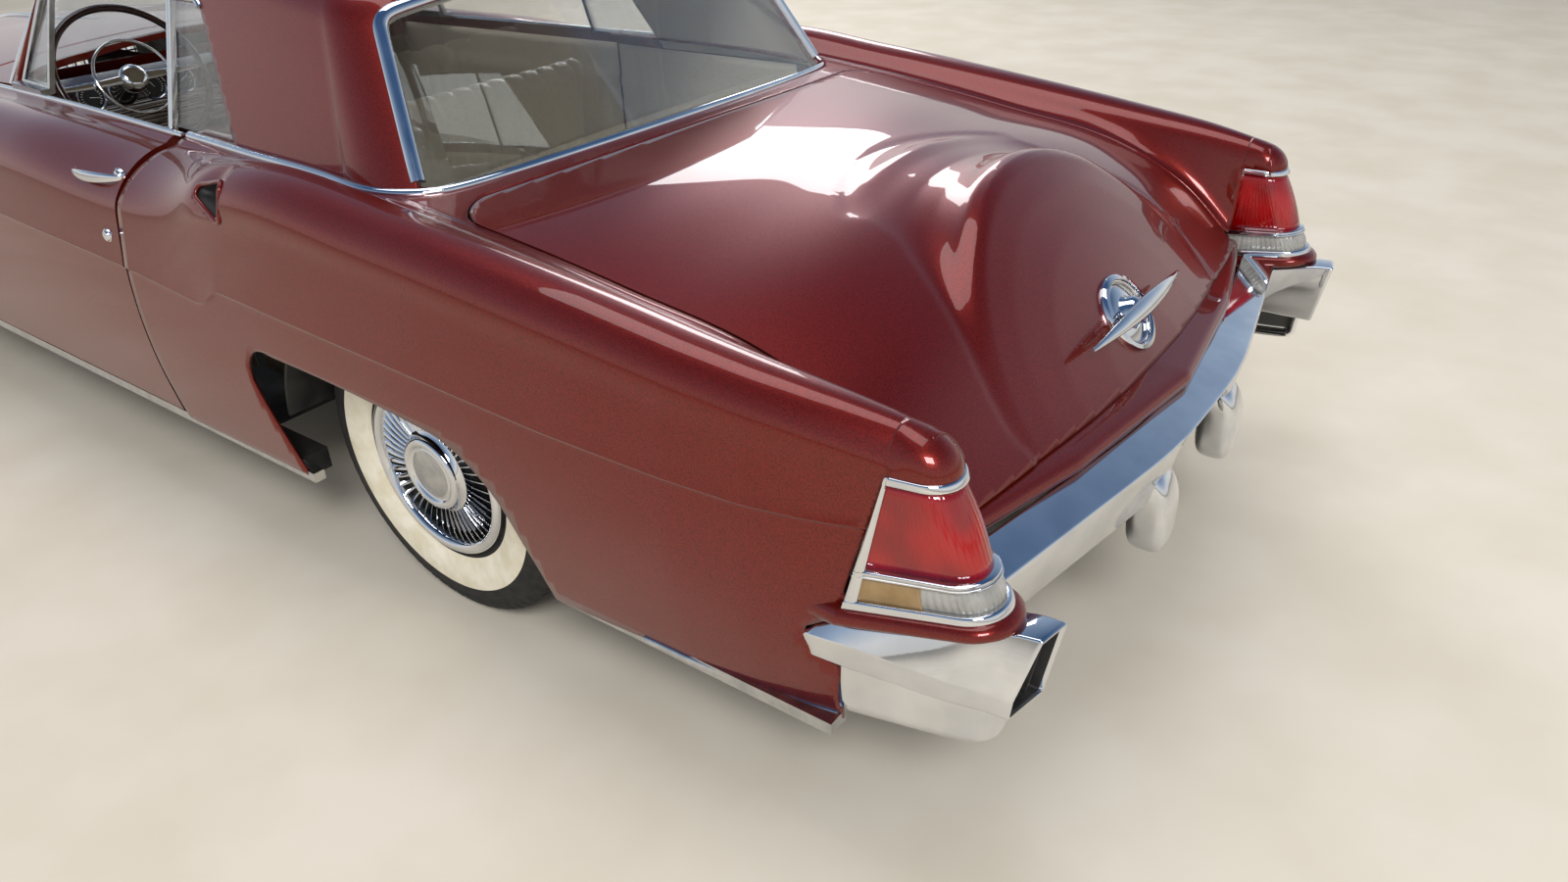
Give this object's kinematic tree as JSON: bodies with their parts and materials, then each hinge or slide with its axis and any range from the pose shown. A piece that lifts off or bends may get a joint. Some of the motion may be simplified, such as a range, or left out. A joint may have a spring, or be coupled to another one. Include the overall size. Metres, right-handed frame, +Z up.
{
  "type": "two-door hardtop car of the mid 1950s",
  "caption": "Full-size two-door hardtop with a spare-wheel hump in its boot lid, opening doors, hood and boot, steered front wheels and bright turbine wheel covers.",
  "frame": {"origin": "on the ground, under the middle of the car's length and width", "axes": "+X forward, +Y to the car's left, +Z up"},
  "size_m": [5.55, 1.9712, 1.4299],
  "materials": {
    "body_paint": "deep maroon metallic enamel, polished",
    "chassis_paint": "black chassis enamel, satin",
    "chrome": "bright plated",
    "glass": "clear, faint green tint",
    "lens_red": "red moulded lens",
    "lamp_glass": "clear fluted glass",
    "tyre": "black rubber with a wide cream side band",
    "wheel_steel": "black enamel",
    "cast": "bare casting, oily",
    "steel": "dull steel",
    "leather": "cream leather",
    "dash_plastic": "dark maroon, satin",
    "wheel_plastic": "dark maroon, glossy",
    "shelf_cloth": "beige cloth over board"
  },
  "bodies": {
    "body": {"back_window": "glass", "chassis_frame": "chassis_paint", "cowl": "body_paint", "dashboard": "dash_plastic", "deck_panel": "body_paint", "engine_block": "cast", "exhaust": "steel", "floor_pan": "chassis_paint", "front_bumper": "chrome", "front_fender_left": "body_paint", "front_fender_right": "body_paint", "front_seat": "leather", "front_suspension": "chassis_paint", "fuel_tank": "steel", "grille": "chrome", "headlamps": "lamp_glass", "parcel_shelf": "shelf_cloth", "quarter_glass": "glass", "quarter_panel_left": "body_paint", "quarter_panel_right": "body_paint", "rear_axle": "cast", "rear_bumper": "chrome", "rear_seat": "leather", "roof": "body_paint", "sill_strips": "chrome", "tail_lamp_housings": "chrome", "tail_lamp_lenses": "lens_red", "tail_panel": "body_paint", "wheelhouses": "chassis_paint", "windscreen": "glass"},
    "hood": {"hood": "body_paint"},
    "boot_lid": {"boot_lid": "body_paint"},
    "steering_wheel": {"steering_wheel": "wheel_plastic"},
    "door_left": {"door_left": "body_paint", "vent_frame_left": "chrome", "vent_glass_left": "glass"},
    "knuckle_left": {"knuckle_left": "cast"},
    "door_right": {"door_right": "body_paint", "vent_frame_right": "chrome", "vent_glass_right": "glass"},
    "knuckle_right": {"knuckle_right": "cast"},
    "wheel_front_left": {"tyre_front_left": "tyre", "wheel_front_left": "wheel_steel", "wheel_cover_front_left": "chrome"},
    "wheel_front_right": {"tyre_front_right": "tyre", "wheel_front_right": "wheel_steel", "wheel_cover_front_right": "chrome"},
    "wheel_rear_left": {"tyre_rear_left": "tyre", "wheel_rear_left": "wheel_steel", "wheel_cover_rear_left": "chrome"},
    "wheel_rear_right": {"tyre_rear_right": "tyre", "wheel_rear_right": "wheel_steel", "wheel_cover_rear_right": "chrome"}
  },
  "joints": [
    {"name": "steer_left", "type": "hinge", "parent": "body", "child": "knuckle_left", "pos_m": [1.835, 0.63, 0.36], "axis": [0, 0, 1], "range_deg": [-30, 30]},
    {"name": "steer_right", "type": "hinge", "parent": "body", "child": "knuckle_right", "pos_m": [1.835, -0.63, 0.36], "axis": [0, 0, 1], "range_deg": [-30, 30]},
    {"name": "steering_turn", "type": "hinge", "parent": "body", "child": "steering_wheel", "pos_m": [0.461, 0.4, 0.924], "axis": [-0.891, 0, 0.454], "range_deg": [-600, 600]},
    {"name": "door_left_hinge", "type": "hinge", "parent": "body", "child": "door_left", "pos_m": [0.867, 0.985, 0.6], "axis": [0, 0, -1], "range_deg": [0, 65]},
    {"name": "door_right_hinge", "type": "hinge", "parent": "body", "child": "door_right", "pos_m": [0.867, -0.985, 0.6], "axis": [0, 0, 1], "range_deg": [0, 65]},
    {"name": "hood_hinge", "type": "hinge", "parent": "body", "child": "hood", "pos_m": [0.935, 0, 0.99], "axis": [0, -1, 0], "range_deg": [0, 50]},
    {"name": "boot_lid_hinge", "type": "hinge", "parent": "body", "child": "boot_lid", "pos_m": [-1.44, 0, 0.965], "axis": [0, 1, 0], "range_deg": [0, 60]},
    {"name": "wheel_front_left_spin", "type": "hinge", "parent": "knuckle_left", "child": "wheel_front_left", "pos_m": [1.835, 0.743, 0.36], "axis": [0, 1, 0], "continuous": true},
    {"name": "wheel_front_right_spin", "type": "hinge", "parent": "knuckle_right", "child": "wheel_front_right", "pos_m": [1.835, -0.743, 0.36], "axis": [0, 1, 0], "continuous": true},
    {"name": "wheel_rear_left_spin", "type": "hinge", "parent": "body", "child": "wheel_rear_left", "pos_m": [-1.365, 0.762, 0.36], "axis": [0, 1, 0], "continuous": true},
    {"name": "wheel_rear_right_spin", "type": "hinge", "parent": "body", "child": "wheel_rear_right", "pos_m": [-1.365, -0.762, 0.36], "axis": [0, 1, 0], "continuous": true}
  ],
  "couplings": [
    {"joint": "steer_right", "follows": "steer_left", "ratio": 1},
    {"joint": "steering_turn", "follows": "steer_left", "ratio": 20}
  ]
}
